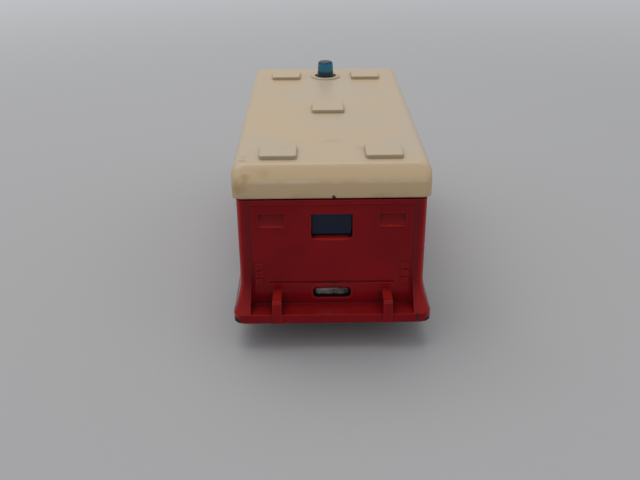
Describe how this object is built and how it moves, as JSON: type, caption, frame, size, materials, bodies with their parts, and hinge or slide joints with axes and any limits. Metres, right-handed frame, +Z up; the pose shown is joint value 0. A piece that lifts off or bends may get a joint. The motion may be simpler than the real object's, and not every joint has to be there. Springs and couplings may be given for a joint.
{
  "type": "toy armoured truck",
  "caption": "Pocket die-cast toy armoured truck with a painted metal body, separate plastic roof, tinted glazing, metal base and free-rolling wheels on wire axles.",
  "frame": {"origin": "on the ground under the middle of the truck's length and width", "axes": "+Y forward along the truck, +X to the truck's right side, +Z up"},
  "size_m": [0.0286, 0.073, 0.0299],
  "materials": {
    "body_paint": "gloss",
    "roof_plastic": "satin",
    "tinted_glazing": "gloss",
    "bare_casting": "satin",
    "axle_wire": "satin",
    "wheel_plastic": "satin"
  },
  "bodies": {
    "chassis": {"body_casting": "body_paint", "roof_cap": "roof_plastic", "window_unit": "tinted_glazing", "base_plate": "bare_casting"},
    "front_axle": {"front_axle": "axle_wire"},
    "rear_axle": {"rear_axle": "axle_wire"},
    "wheel_front_left": {"wheel_front_left": "wheel_plastic"},
    "wheel_front_right": {"wheel_front_right": "wheel_plastic"},
    "wheel_rear_left": {"wheel_rear_left": "wheel_plastic"},
    "wheel_rear_right": {"wheel_rear_right": "wheel_plastic"}
  },
  "joints": [
    {"name": "front_axle_spin", "type": "hinge", "parent": "chassis", "child": "front_axle", "pos_m": [0, 0.0273, 0.0056], "axis": [-1, 0, 0], "continuous": true},
    {"name": "rear_axle_spin", "type": "hinge", "parent": "chassis", "child": "rear_axle", "pos_m": [0, -0.0167, 0.0056], "axis": [-1, 0, 0], "continuous": true},
    {"name": "front_left_spin", "type": "hinge", "parent": "front_axle", "child": "wheel_front_left", "pos_m": [-0.011, 0.0273, 0.0056], "axis": [-1, 0, 0], "continuous": true},
    {"name": "front_right_spin", "type": "hinge", "parent": "front_axle", "child": "wheel_front_right", "pos_m": [0.011, 0.0273, 0.0056], "axis": [-1, 0, 0], "continuous": true},
    {"name": "rear_left_spin", "type": "hinge", "parent": "rear_axle", "child": "wheel_rear_left", "pos_m": [-0.011, -0.0167, 0.0056], "axis": [-1, 0, 0], "continuous": true},
    {"name": "rear_right_spin", "type": "hinge", "parent": "rear_axle", "child": "wheel_rear_right", "pos_m": [0.011, -0.0167, 0.0056], "axis": [-1, 0, 0], "continuous": true}
  ]
}
